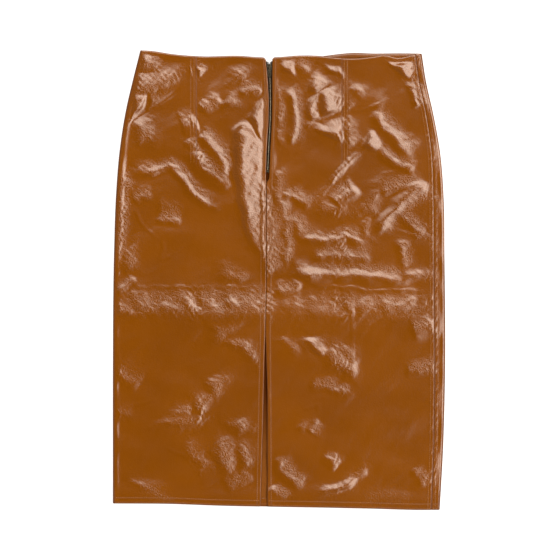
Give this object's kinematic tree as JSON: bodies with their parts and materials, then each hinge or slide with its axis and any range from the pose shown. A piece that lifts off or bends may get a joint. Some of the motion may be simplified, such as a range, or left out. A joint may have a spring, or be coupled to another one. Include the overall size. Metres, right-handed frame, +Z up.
{
  "type": "midi skirt",
  "caption": "Straight pencil skirt in glossy tan leather, laid flat with its back up: centre back metal zip, darts, centre back slit and turned hem.",
  "frame": {"origin": "centre of the bounding box at the surface that the skirt lies on", "axes": "+Y from the hem to the waist, +Z up out of the back, +X to the right of someone looking down at the back"},
  "size_m": [0.4989, 0.6896, 0.0081],
  "materials": {
    "leather": "glossy, patent-like",
    "zip_tape": "matt woven",
    "zip_metal": "antique gunmetal"
  },
  "bodies": {
    "skirt": {"back_left_panel": "leather", "back_right_panel": "leather", "front_panel": "leather", "zip_tape_left": "zip_tape", "zip_tape_right": "zip_tape", "zip_chain": "zip_metal", "zip_top_stop_left": "zip_metal", "zip_top_stop_right": "zip_metal", "zip_bottom_stop": "zip_metal", "zip_slider": "zip_metal"},
    "pull_tab": {"pull_tab": "zip_metal"}
  },
  "joints": [
    {"name": "pull_tab_swing", "type": "hinge", "parent": "skirt", "child": "pull_tab", "pos_m": [-0.01445, 0.3195, 0.0063], "axis": [-1, 0, 0], "range_deg": [0, 180]}
  ]
}
